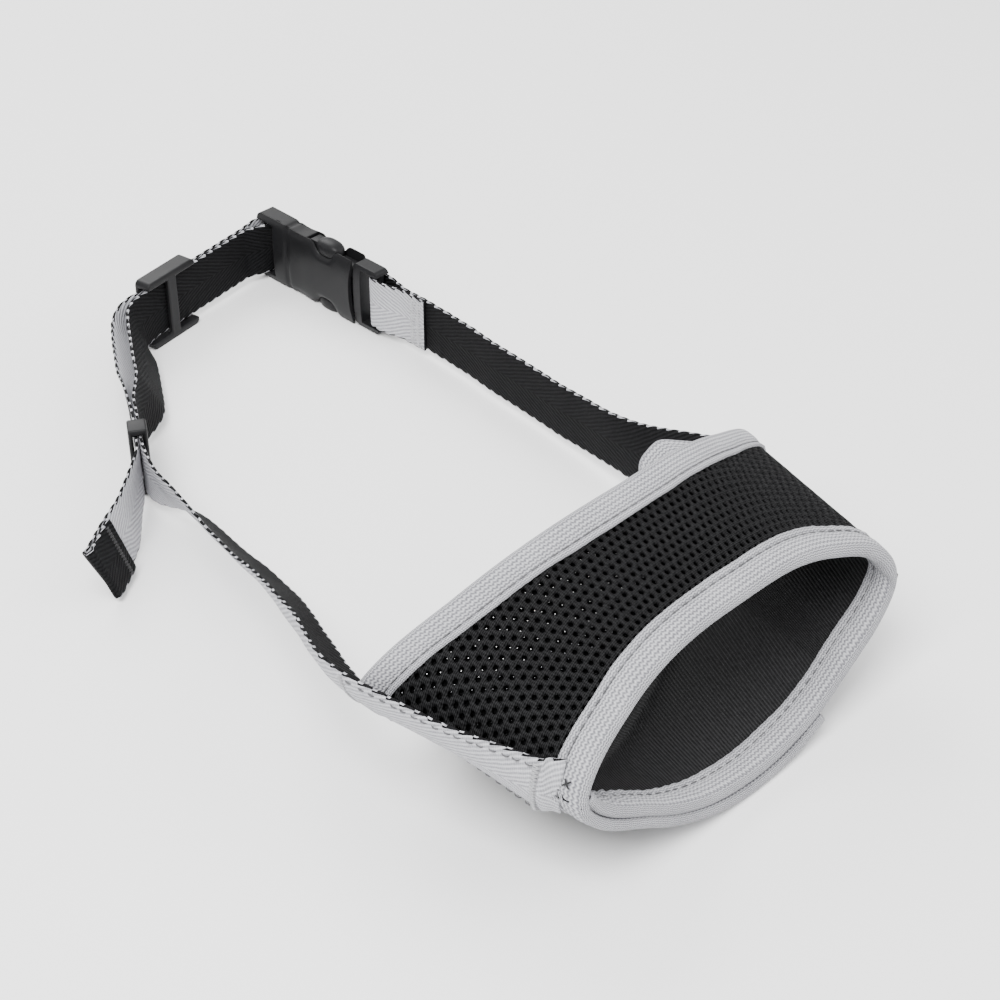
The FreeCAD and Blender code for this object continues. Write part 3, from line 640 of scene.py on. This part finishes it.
def near_strap():
    doubled = np.vstack([KEEPER_RUN, KEEPER_RUN[1] + RUN_DIRECTION * 66])
    standing = np.vstack([near_seam_route(), [HANGING_POINT], parallel(doubled, -LAYER_PITCH / 2)])
    around = [(BUCKLE_LINE - 5, RUN_LINE - WRAP_RADIUS, STRAP_HEIGHT),
              (BUCKLE_LINE + WRAP_RADIUS, RUN_LINE - WRAP_RADIUS, STRAP_HEIGHT),
              (BUCKLE_LINE + WRAP_RADIUS, RUN_LINE + WRAP_RADIUS, STRAP_HEIGHT),
              (BUCKLE_LINE - 5, RUN_LINE + WRAP_RADIUS, STRAP_HEIGHT)]
    returning = parallel(doubled, LAYER_PITCH / 2)[::-1]
    heading = unit(np.array([-21, -14, -0.8]))
    facing = unit(np.cross(TAIL_LEAN, heading))
    hem = [TAIL_END + facing * 1.5, TAIL_END + facing * 1.45 - heading * 15]
    corners = np.vstack([standing, around, returning, [(-57, 196.5, 11.4)], [TAIL_END], hem])
    turn = WRAP_RADIUS - 0.01
    radii = [30, 60, 30, 22, 6, 3, turn, turn, 3, 6, 22, 16, 24, 0.74, 0.74]
    route = filled(rounded_route(corners, radii), 2.0)
    width = leaning(route, NEAR_LEANS)
    route, width = doubled_layers(route, width)
    route = tucked(route, NEAR_TUCK)

    def loose(points):
        lengths = lengths_along(points)
        return ((points[:, 1] < 200) & (points[:, 1] > 78)
                & (lengths < lengths[-1] * 0.5)).astype(float)

    def curl(points):
        lengths = lengths_along(points)
        seam = (0.5 + 0.35 * np.clip(1 - points[:, 1] / 22, 0, 1)) * on_seam(points)
        hanging = np.interp(points[:, 1], *zip(*HANGING_CURLS), left=0.0)
        return np.maximum(seam, hanging) * (lengths < lengths[-1] * 0.5)

    return webbing("near_strap_webbing", route, lambda points: width, -1, loose, curl, 21)


def far_strap():
    bar = RUN_LINE - 59.5
    pinch = bar - 13
    layer = LAYER_PITCH / 2
    fold = [(layer, pinch - 12), (layer, pinch), (WRAP_RADIUS, bar - 4),
            (WRAP_RADIUS, bar + WRAP_RADIUS), (-WRAP_RADIUS, bar + WRAP_RADIUS),
            (-WRAP_RADIUS, bar - 4), (-layer, pinch), (-layer, pinch - 11)]
    corners = FAR_SEAM + [(73, 104, 17), (79, 143, STRAP_HEIGHT)]
    corners += [(BUCKLE_LINE + aside, place, STRAP_HEIGHT) for aside, place in fold]
    turn = WRAP_RADIUS - 0.01
    radii = [6, 40, 60, 60, 10, 6, turn, turn, 6, 10]
    route = tucked(filled(rounded_route(corners, radii), 2.0), FAR_TUCK)
    width = leaning(route, FAR_LEANS)

    def loose(points):
        return ((points[:, 1] < 205) & (points[:, 1] > 78)).astype(float)

    def curl(points):
        return -0.35 * on_seam(points)

    return webbing("far_strap_webbing", route, lambda points: width, 1, loose, curl, 31)


# ---- materials


class Value:
    """A number in a node tree, so that patterns can be written as sums."""

    def __init__(self, tree, socket):
        self.tree = tree
        self.socket = socket

    def math(self, operation, other=None, clamp=False):
        node = self.tree.nodes.new("ShaderNodeMath")
        node.operation = operation
        node.use_clamp = clamp
        for index, value in enumerate((self, other)):
            if isinstance(value, Value):
                self.tree.links.new(value.socket, node.inputs[index])
            elif value is not None:
                node.inputs[index].default_value = value
        return Value(self.tree, node.outputs[0])

    def __add__(self, other):
        return self.math("ADD", other)

    def __sub__(self, other):
        return self.math("SUBTRACT", other)

    def __mul__(self, other):
        return self.math("MULTIPLY", other)

    def __truediv__(self, other):
        return self.math("DIVIDE", other)

    def zigzag(self):
        return ((self.math("FRACT") - 0.5).math("ABSOLUTE")) * 2.0

    def wave(self):
        return (self * (2 * math.pi)).math("SINE") * 0.5 + 0.5

    def above(self, limit):
        return self.math("GREATER_THAN", limit)

    def between(self, low, high):
        return ((self - low) / (high - low)).math("ADD", 0.0, clamp=True)


class Surface:
    """A principled material with pattern, colour and bump helpers."""

    def __init__(self, name, roughness, sheen=0.0, specular=0.5):
        self.material = bpy.data.materials.new(name)
        self.material.use_nodes = True
        self.tree = self.material.node_tree
        self.shader = self.tree.nodes["Principled BSDF"]
        self.shader.inputs["Roughness"].default_value = roughness
        self.shader.inputs["Sheen Weight"].default_value = sheen
        self.shader.inputs["Sheen Roughness"].default_value = 0.5
        self.shader.inputs["Specular IOR Level"].default_value = specular

    def position(self):
        """Millimetres along and across the cloth."""
        coordinates = self.tree.nodes.new("ShaderNodeUVMap")
        coordinates.uv_map = "millimetres"
        split = self.tree.nodes.new("ShaderNodeSeparateXYZ")
        self.tree.links.new(coordinates.outputs[0], split.inputs[0])
        return Value(self.tree, split.outputs[0]), Value(self.tree, split.outputs[1])

    def noise(self, scale, detail=3.0):
        """Noise in object space; scale is in features per metre."""
        coordinates = self.tree.nodes.new("ShaderNodeTexCoord")
        texture = self.tree.nodes.new("ShaderNodeTexNoise")
        texture.inputs["Scale"].default_value = scale
        texture.inputs["Detail"].default_value = detail
        self.tree.links.new(coordinates.outputs["Object"], texture.inputs["Vector"])
        return Value(self.tree, texture.outputs[0])

    def mix(self, share, first, second):
        """A colour between two, each a grey level, an RGB triple or another mix."""
        node = self.tree.nodes.new("ShaderNodeMix")
        node.data_type = "RGBA"
        self.tree.links.new(share.socket, node.inputs["Factor"])
        for socket, colour in ((node.inputs[6], first), (node.inputs[7], second)):
            if isinstance(colour, (tuple, float)):
                triple = colour if isinstance(colour, tuple) else (colour,) * 3
                socket.default_value = (*triple, 1)
            else:
                self.tree.links.new(colour, socket)
        return node.outputs[2]

    def colour(self, socket):
        self.tree.links.new(socket, self.shader.inputs["Base Color"])

    def rough(self, value):
        self.tree.links.new(value.socket, self.shader.inputs["Roughness"])

    def bump(self, height, distance, strength=1.0):
        """Relief; distance is the height of a full step, in millimetres."""
        node = self.tree.nodes.new("ShaderNodeBump")
        node.inputs["Strength"].default_value = strength
        node.inputs["Distance"].default_value = distance * MM
        self.tree.links.new(height.socket, node.inputs["Height"])
        self.tree.links.new(node.outputs[0], self.shader.inputs["Normal"])


GREY_LIGHT = (0.5, 0.5, 0.525)
GREY_DARK = (0.18, 0.18, 0.195)


def tape_material():
    """Pale grey knitted tape: fine chevrons across it, darker between the loops, and a thin line of
    painted shade along its stitch grooves.
    """
    surface = Surface("knitted_tape", 0.85, sheen=0.1, specular=0.2)
    u, v = surface.position()
    rows = (v / 1.05 + (u / 1.5).zigzag() * 0.42 + surface.noise(300, 2) * 0.25).wave()
    loops = (u / 0.75).wave()
    height = rows * 0.75 + loops * 0.25
    tone = height * 0.6 + surface.noise(1500, 4) * 0.3 + surface.noise(60, 2) * 0.15
    base = surface.mix(tone.between(0.25, 0.85), (0.13, 0.13, 0.145), (0.5, 0.5, 0.52))
    # Painted shade: a thin dark line laid into the tape's colour along its stitch grooves, where
    # shade falls.
    outside = ((v - 3.3).math("ABSOLUTE") * -1.0 + 0.42).between(0.0, 0.3)
    inside = ((v - 43.3).math("ABSOLUTE") * -1.0 + 0.42).between(0.0, 0.3)
    groove = outside.math("MAXIMUM", inside)
    # The stitch grooves' painted shade pulls the tape's colour towards dark grey.
    surface.colour(surface.mix(groove * 0.75, base, (0.1, 0.1, 0.11)))
    surface.bump(height + surface.noise(2600, 2) * 0.3, 0.24, 0.9)
    return surface.material


def webbing_material():
    """Herringbone twill, grey on one face and black on the other, with toothed selvedges."""
    surface = Surface("two_tone_webbing", 0.75, specular=0.08)
    u, v = surface.position()
    black_face = v.above(30.0)
    across = v - black_face * 40.0
    off_middle = (across - 10.0).math("ABSOLUTE")
    edge = off_middle * -1.0 + 10.0
    wobble = surface.noise(250, 2) * 0.5
    twill = ((u * 0.42 + off_middle * 0.9) / 1.3 + wobble).wave()
    picks = (u / 0.6 - off_middle / 2.6).wave()
    height = twill * 0.75 + picks * 0.25
    fleck = surface.noise(1500, 4)
    tooth = (u / SCALLOP + surface.noise(220, 2) * 0.7).math("FRACT")
    depth = tooth * (black_face * -0.25 + 0.95) - 0.1
    swapped = (depth - edge).above(0.0)
    on_face = (black_face - swapped).math("ABSOLUTE")
    on_rim = (edge * -1.0).above(0.0)
    dark_share = on_face * (on_rim * -1.0 + 1.0) + on_rim * (tooth * -1.0 + 1.0).above(0.3)
    grey_tone = height * 0.6 + fleck * 0.5
    grey = surface.mix(grey_tone.between(0.1, 0.8), GREY_DARK, GREY_LIGHT)
    black = surface.mix(grey_tone.between(0.2, 1.0), (0.001, 0.001, 0.0012), (0.011, 0.011, 0.012))
    surface.colour(surface.mix(dark_share, grey, black))
    surface.bump(height + fleck * 0.3, 0.3, 0.85)
    return surface.material


def mesh_material(name, dark, light):
    """Black polyester yarn of the air mesh."""
    surface = Surface(name, 0.6, specular=0.05)
    u, v = surface.position()
    strands = (u / 0.9 + surface.noise(500, 2) * 1.5).wave() * 0.35 + (v / 0.55).wave() * 0.65
    tone = strands * 0.6 + surface.noise(1200, 3) * 0.5
    surface.colour(surface.mix(tone.between(0.3, 0.95), dark, light))
    surface.bump(strands, 0.2, 0.8)
    return surface.material


def chin_material():
    """Black ribbed nylon: fine slanting ribs with a soft gloss."""
    surface = Surface("ribbed_nylon", 0.55, specular=0.1)
    u, v = surface.position()
    rib = ((u + v * 0.35) / 1.15).wave()
    picks = ((v - u * 0.35) / 0.42).wave()
    height = rib * 0.75 + picks * 0.25
    tone = height * 0.6 + surface.noise(700, 3) * 0.4
    surface.colour(surface.mix(tone.between(0.2, 0.9), (0.0008, 0.0008, 0.001),
                               (0.028, 0.028, 0.029)))
    surface.bump(height, 0.2, 1.0)
    return surface.material


def thread_material(name, dark, light):
    surface = Surface(name, 0.6, sheen=0.1, specular=0.35)
    u, v = surface.position()
    twist = (u * 5.0 + v).wave()
    surface.colour(surface.mix(twist * 0.5 + surface.noise(900) * 0.5, dark, light))
    surface.bump(twist, 0.08)
    return surface.material


def plastic_material():
    """Satin moulded plastic with a fine spark-eroded grain."""
    surface = Surface("moulded_plastic", 0.4, specular=0.14)
    grain = surface.noise(2800, 3)
    cloudy = surface.noise(90, 3)
    surface.colour(surface.mix(cloudy, (0.006, 0.006, 0.0065), (0.012, 0.012, 0.013)))
    surface.rough(cloudy * 0.14 + grain * 0.1 + 0.27)
    surface.bump(grain, 0.035, 0.5)
    return surface.material


def dress(piece, material, body, slot, *replaced):
    """Give a piece its material and its CAD body, and hide the nodes it stands for; slot is not
    used.
    """
    piece.data.materials.clear()
    piece.data.materials.append(material)
    if body:
        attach(piece, body)
    if replaced:
        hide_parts(*replaced)


TAPE = tape_material()
WEBBING = webbing_material()
YARN = mesh_material("air_mesh_yarn", (0.001, 0.001, 0.0012), (0.022, 0.022, 0.023))
# Painted shade: the backing is the face's black yarn, made much darker to stand for the shade
# inside the sleeve.
BACKING_YARN_WITH_PAINTED_SHADE = mesh_material("air_mesh_backing", (0.0005, 0.0005, 0.0006), (0.004, 0.004, 0.0045))
NYLON = chin_material()
# Painted shade: the thread's own grey is made darker than the tape's, to stand for the shade of the
# stitch groove it lies in.
GREY_THREAD_DARKENED_AS_SHADE = thread_material("grey_thread", (0.06, 0.06, 0.065), (0.2, 0.2, 0.21))
PALE_THREAD = thread_material("pale_thread", (0.4, 0.4, 0.42), (0.7, 0.7, 0.72))
BLACK_THREAD = thread_material("black_thread", (0.006, 0.006, 0.007), (0.03, 0.03, 0.032))
PLASTIC = plastic_material()


# ---- pieces


def build_sleeve():
    yarn = net("air_mesh_face", top, columns=56, pitch=2.55, hole=0.74,
               heights=(-0.4, 0.15, 0.7, 0.8), points_per_cell=12, margin=5.0)
    dress(yarn, YARN, "muzzle", "air_mesh", "mesh_panel")
    backing = net("air_mesh_backing", top, columns=96, pitch=1.62, hole=0.17,
                  heights=(2.0, 2.05, 2.35, 2.4), points_per_cell=6, margin=5.0)
    dress(backing, BACKING_YARN_WITH_PAINTED_SHADE, "muzzle", "air_mesh")
    outer = cloth("chin_cloth_outer", outer_chin, -1.0, OUTER_FLAP_END, CHIN_THICKNESS, 0.05)
    dress(outer, NYLON, "muzzle", "chin_cloth", "chin_flap_outer", "chin_hook_patch")
    inner = cloth("chin_cloth_inner", inner_chin, 1.0, -0.97, CHIN_THICKNESS)
    dress(inner, NYLON, "muzzle", "chin_cloth", "chin_flap_inner", "chin_loop_patch")
    return outer, inner


def build_bindings():
    """Each open end has one tape: inner flap, far corner, top, near corner, outer flap."""
    for end, from_rear in (("front", False), ("rear", True)):
        outer = np.linspace(-0.965, OUTER_FLAP_END, 90)
        stretches = [(inner_chin, np.linspace(-0.985, 0.965, 124), from_rear, CHIN_THICKNESS),
                     (top, np.linspace(0.965, -0.965, 140), from_rear, MESH_THICKNESS),
                     (outer_chin, outer, from_rear, CHIN_THICKNESS)]
        tape, stitches = binding(f"{end}_binding", stretches, 40 + 5 * from_rear)
        dress(tape, TAPE, "muzzle", "binding_tape",
              *(f"{end}_binding_{part}" for part in ("top", "inner", "outer")))
        dress(stitches, GREY_THREAD_DARKENED_AS_SHADE, "muzzle", "grey_thread",
              *(f"{end}_stitching_{part}" for part in ("top", "inner")))


def bar_threads(centre, along, across, outward, bow=0.0):
    """Places of the closely set threads of one bartack across the webbing."""
    places = np.arange(-9.0, 9.0, 0.55)
    curl = bow * (places / 10) ** 2
    face = WEBBING_THICKNESS / 2 - 0.12
    where = centre + across * places[:, None] + outward * (face - curl)[:, None]
    slant = along + across * np.where(np.arange(len(places)) % 2, 0.25, -0.25)[:, None]
    return where, unit(slant), np.tile(outward, (len(places), 1))


def sew(name, rows, thread, slot, body, node=None, **sizes):
    """One piece from rows of threads: their places, directions and outward directions."""
    where, direction, outward = (np.concatenate(parts) for parts in zip(*rows))
    threads = tufts(name, where, direction, outward, **sizes)
    dress(threads, thread, body, slot, *([node] if node else []))


def seam_threads(strap, side, name):
    """Two rows of stitches along a side seam and a dense bar at each of its ends."""
    _, _, points, tangent, width, normal = strap
    sewn = points[:110, 1]
    outward = normal * np.sign(normal[20, 0] * side)
    dip = SEAM_DIPS[name]
    pick = np.searchsorted(sewn, np.arange(14.8, 66, 3.15))
    rows = [(points[pick] + width[pick] * 8.0 * edge - outward[pick] * (dip * 0.64 - 0.5),
             tangent[pick], outward[pick]) for edge in (-1, 1)]
    sew(f"{name}_seam_stitches", rows, GREY_THREAD_DARKENED_AS_SHADE, "grey_thread", "muzzle",
        f"seam_stitching_{name}", length=2.4, radius=0.22, arch=0.5)
    bars = [bar_threads(points[pick], tangent[pick], width[pick], outward[pick], dip)
            for pick in np.searchsorted(sewn, (12.9, 68.0))]
    sew(f"{name}_seam_bartacks", bars, PALE_THREAD, "grey_thread", "muzzle",
        f"seam_bartacks_{name}", length=2.2, radius=0.2, arch=0.35)


def corner_cross():
    """The small dark cross sewn over the tape at the near front corner."""
    where, into, inward = top.edge(np.array([-0.955]), False)
    centre = where + into * 5.5 - inward * (TAPE_THICKNESS + 0.35)
    aside = np.cross(into, inward)
    rows = [(centre, unit(into + aside * slant), -inward) for slant in (1, -1)]
    sew("corner_cross", rows, BLACK_THREAD, "black_thread", "muzzle",
        length=3.0, radius=0.25, arch=0.4)


def end_bars(strap, distances):
    """Bartacks across a strap, at distances back from its end."""
    _, along, points, tangent, width, normal = strap
    return [bar_threads(points[pick], tangent[pick], width[pick], normal[pick])
            for pick in np.searchsorted(along, along[-1] - np.array(distances))]


def build_straps():
    near = near_strap()
    dress(near[0], WEBBING, "muzzle", "webbing", "near_strap")
    far = far_strap()
    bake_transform(far[0])
    dress(far[0], WEBBING, None, "webbing", "far_strap")
    seam_threads(near, -1, "near")
    seam_threads(far, 1, "far")
    corner_cross()
    sew("male_loop_bartack", end_bars(far, (3.0, 6.0)), PALE_THREAD, "grey_thread",
        "buckle_plug", "bartack_male_loop", length=3.0, radius=0.22, arch=0.3)
    sew("tail_bartack", end_bars(near, (3.5,)), BLACK_THREAD, "black_thread",
        "muzzle", "bartack_tail", length=2.2, radius=0.2, arch=0.3)


def moulded(node, rounding, shape=None):
    """A softened copy of a moulded CAD node; shape moves its points, in the maker's frame.

    A node that is reshaped is first cut into slices, so that its flat faces can bend.
    """
    slice_width = 1.0
    solid = bmesh.new()
    solid.from_mesh(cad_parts[node].data)
    bmesh.ops.remove_doubles(solid, verts=solid.verts, dist=0.01 * MM)
    bmesh.ops.dissolve_limit(solid, angle_limit=math.radians(2), verts=solid.verts,
                             edges=solid.edges)
    sharp = [edge for edge in solid.edges
             if len(edge.link_faces) == 2 and edge.calc_face_angle() > math.radians(40)]
    bmesh.ops.bevel(solid, geom=sharp, offset=rounding * MM, segments=3, profile=0.5,
                    affect="EDGES", clamp_overlap=True)
    if shape:
        low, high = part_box(node)
        for axis in range(3):
            aim = [float(axis == other) for other in range(3)]
            for place in np.arange(low[axis] + slice_width * MM / 2, high[axis], slice_width * MM):
                bmesh.ops.bisect_plane(solid, geom=solid.verts[:] + solid.edges[:] + solid.faces[:],
                                       plane_co=[place * share for share in aim], plane_no=aim)
        for vertex in solid.verts:
            place = (np.array(vertex.co) - FRAME_SHIFT) / MM
            vertex.co = shape(place) * MM + FRAME_SHIFT
    mesh = bpy.data.meshes.new(f"{node}_moulded")
    solid.to_mesh(mesh)
    solid.free()
    mesh.shade_smooth()
    mesh.set_sharp_from_angle(angle=math.radians(38))
    piece = bpy.data.objects.new(f"{node}_moulded", mesh)
    bpy.context.scene.collection.objects.link(piece)
    return piece


def socket_shape(place):
    """Rounded cheeks, a groove behind the strap block and a scooped mouth."""
    along, across, through = RUN_LINE - place[1], place[2] - STRAP_HEIGHT, BUCKLE_LINE - place[0]
    crown = 1 - 0.30 * (abs(across) / 13) ** 4
    groove = math.exp(-((along - 14.5) / 0.7) ** 2)
    waist = math.exp(-((along - 20) / 5.0) ** 2)
    if abs(through) > 3.2:
        through *= crown * (1 - 0.10 * groove) * (1 - 0.05 * waist)
    if abs(across) > 11:
        across *= 1 - 0.035 * groove - 0.05 * waist
    if abs(across) > 7 and abs(through) > 2.5:
        thumb = 0.72 * math.exp(-((along - 34.5) / 5.2) ** 4)
        across = math.copysign(7 + (abs(across) - 7) * (1 - thumb), across)
    if along > 42:
        along -= 1.0 * (along - 42) / 7 * max(0, 1 - (across / 9.5) ** 2)
    return np.array([BUCKLE_LINE - through, RUN_LINE - along, across + STRAP_HEIGHT])


def plug_shape(place):
    """A crowned base, thinner towards its rails."""
    across, through = place[2] - STRAP_HEIGHT, BUCKLE_LINE - place[0]
    crown = 1 - 0.25 * (abs(across) / 12.5) ** 4
    return np.array([BUCKLE_LINE - through * crown, place[1], place[2]])


def slide_shape(place):
    """The adjuster's end bars curve outwards along the run."""
    above = place[2] - STRAP_HEIGHT
    return place + UP * 0.35 * math.copysign(1, above) * (abs(above) > 9)


def latch_knob(name, side):
    """The swollen thumb pad of a latch arm, which stands out of its side window."""
    turns, rows = np.linspace(0, 2 * math.pi, 28, endpoint=False), np.linspace(-1, 1, 17)
    girth = np.sqrt(np.clip(1 - np.abs(rows) ** 2.6, 0.0004, 1))
    spread = np.sign(np.cos(turns)) * np.abs(np.cos(turns)) ** 0.75
    lift = np.sign(np.sin(turns)) * np.abs(np.sin(turns)) ** 0.75
    along = RUN_LINE - 34.5 - 6.4 * rows
    rings = np.empty((len(rows), len(turns), 3))
    rings[..., 0] = BUCKLE_LINE + 3.5 * girth[:, None] * spread
    rings[..., 1] = along[:, None]
    rings[..., 2] = STRAP_HEIGHT + side * (10.9 + 3.3 * girth[:, None] * lift)
    spans = np.linspace(0, 20, len(turns) + 1)
    return sweep(name, rings, lengths_along(rings[:, 0]), list(zip(spans, spans[1:])))


def build_hardware():
    shapes = {"buckle_female": ("muzzle", "buckle_plastic", 0.7, socket_shape),
              "buckle_male": ("buckle_plug", "buckle_plastic", 0.6, plug_shape),
              "prong_upper": ("upper_latch", "buckle_plastic", 0.4, None),
              "prong_lower": ("lower_latch", "buckle_plastic", 0.4, None),
              "tri_glide": ("adjuster", "slider_plastic", 0.8, slide_shape),
              "strap_keeper": ("keeper", "slider_plastic", 0.7, None)}
    for node, (body, slot, rounding, shape) in shapes.items():
        dress(moulded(node, rounding, shape), PLASTIC, body, slot, node)
    for name, side in (("upper", 1), ("lower", -1)):
        dress(latch_knob(f"{name}_latch_knob", side), PLASTIC, f"{name}_latch", "buckle_plastic")


def build_studio():
    """A pale floor, soft light and the camera."""
    floor_size = 6.0
    corners = np.array([(-1, -1, 0), (1, -1, 0), (1, 1, 0), (-1, 1, 0)]) * floor_size / 2 / MM
    floor = make_mesh("studio_floor", corners, [(0, 1, 2, 3)], np.zeros((4, 2)), smooth=False)
    floor.location = (0, 0, -0.0002)
    pale = Surface("studio_floor", 0.9, specular=0.1)
    pale.shader.inputs["Base Color"].default_value = (0.93, 0.93, 0.93, 1)
    floor.data.materials.append(pale.material)

    world = bpy.data.worlds.new("studio")
    world.use_nodes = True
    world.node_tree.nodes["Background"].inputs["Color"].default_value = (1, 1, 1, 1)
    world.node_tree.nodes["Background"].inputs["Strength"].default_value = 1.15
    bpy.context.scene.world = world
    for name, place, size, power in (("key", (-0.5, -0.2, 0.9), 0.6, 19.0),
                                     ("fill", (0.7, -0.7, 0.7), 0.9, 6.0),
                                     ("back", (0.3, 0.9, 0.8), 0.7, 12.0)):
        light = bpy.data.lights.new(name, "AREA")
        light.size = size
        light.energy = power
        lamp = bpy.data.objects.new(name, light)
        lamp.location = place
        towards = Vector((0, 0, 0.03)) - Vector(place)
        lamp.rotation_euler = towards.to_track_quat("-Z", "Y").to_euler()
        bpy.context.scene.collection.objects.link(lamp)

    level = math.cos(CAMERA_ELEVATION)
    back = Vector((math.sin(CAMERA_AZIMUTH) * level, -math.cos(CAMERA_AZIMUTH) * level,
                   math.sin(CAMERA_ELEVATION)))
    camera = bpy.data.cameras.new("camera")
    camera.lens = CAMERA_LENS
    camera.sensor_width = 36.0
    camera.clip_start = 0.01
    viewer = bpy.data.objects.new("camera", camera)
    viewer.location = CAMERA_PLACE
    viewer.rotation_euler = (-back).to_track_quat("-Z", "Y").to_euler()
    bpy.context.scene.collection.objects.link(viewer)
    bpy.context.scene.camera = viewer


outer_flap, inner_flap = build_sleeve()
build_bindings()
build_straps()
build_hardware()
build_studio()
